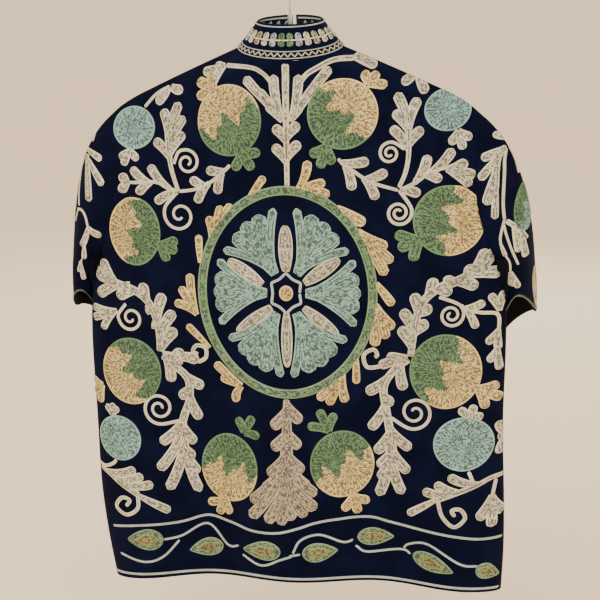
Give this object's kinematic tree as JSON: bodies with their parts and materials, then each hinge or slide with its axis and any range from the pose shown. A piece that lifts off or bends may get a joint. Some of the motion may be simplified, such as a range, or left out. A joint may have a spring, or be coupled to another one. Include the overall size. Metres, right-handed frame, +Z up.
{
  "type": "reversible jacket on a wire hanger",
  "caption": "Loose open-front jacket with a stand collar and elbow sleeves, hanging empty on a wire hanger, its back embroidered with a medallion and leaf sprays.",
  "frame": {"origin": "inside top of the hanger's hook, where a rail holds it", "axes": "+Z up, the jacket's back faces -Y and its open front +Y, the wearer's right is +X"},
  "size_m": [0.62, 0.1938, 0.8296],
  "materials": {
    "back_cloth": "navy cotton with chain stitch embroidery",
    "front_left_cloth": "navy cotton with chain stitch embroidery",
    "front_right_cloth": "navy cotton with chain stitch embroidery",
    "sleeve_left_cloth": "navy cotton with chain stitch embroidery",
    "sleeve_right_cloth": "navy cotton with chain stitch embroidery",
    "collar_cloth": "navy cotton with chain stitch embroidery",
    "hanger_frame_wire": "drawn wire",
    "hanger_neck_wire": "rolled sleeve",
    "hanger_hook_wire": "drawn wire"
  },
  "bodies": {
    "root": {"back_panel": "back_cloth", "front_left": "front_left_cloth", "front_right": "front_right_cloth", "sleeve_left": "sleeve_left_cloth", "sleeve_right": "sleeve_right_cloth", "collar": "collar_cloth", "hanger_frame": "hanger_frame_wire", "hanger_neck": "hanger_neck_wire", "hanger_hook": "hanger_hook_wire"}
  },
  "joints": []
}
